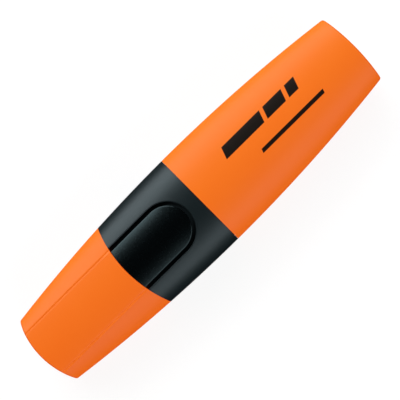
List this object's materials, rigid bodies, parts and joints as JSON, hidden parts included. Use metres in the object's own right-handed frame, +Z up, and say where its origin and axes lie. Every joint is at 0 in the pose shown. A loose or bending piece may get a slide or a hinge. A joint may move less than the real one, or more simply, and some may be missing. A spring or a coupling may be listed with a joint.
{
  "type": "highlighter",
  "caption": "Flat oval highlighter pen with a pull-off cap, a tongue clip set into the cap, and a chisel fibre nib fed by an ink reservoir.",
  "frame": {"origin": "middle of the length and width, on the plane the pen rests on", "axes": "+X along the pen from the cap to the barrel end, +Y across the broad face, +Z up through the clip side"},
  "size_m": [0.112, 0.0278, 0.017],
  "materials": {
    "orange_barrel": "satin moulded",
    "black_front": "satin moulded",
    "nib_fibre": "soaked fibre",
    "ink_fibre": "soaked fibre",
    "wrap_film": "thin film",
    "black_satin": "satin moulded",
    "black_gloss": "polished moulded",
    "orange_cap": "satin moulded",
    "liner_plastic": "natural moulded"
  },
  "bodies": {
    "barrel": {"barrel": "orange_barrel", "front_section": "black_front", "nib": "nib_fibre", "ink_reservoir": "ink_fibre", "reservoir_film": "wrap_film"},
    "cap": {"cap_shell": "black_satin", "cap_tip": "orange_cap", "inner_cap": "liner_plastic"},
    "clip": {"cap_clip": "black_gloss"}
  },
  "joints": [
    {"name": "cap_pull", "type": "slide", "parent": "barrel", "child": "cap", "axis": [-1, 0, 0], "range_m": [0, 0.06]},
    {"name": "clip_lift", "type": "hinge", "parent": "cap", "child": "clip", "pos_m": [-0.02527, 0, 0.01573], "axis": [0, -1, 0], "range_deg": [0, 6], "stiffness_Nm_per_rad": 0.5}
  ]
}
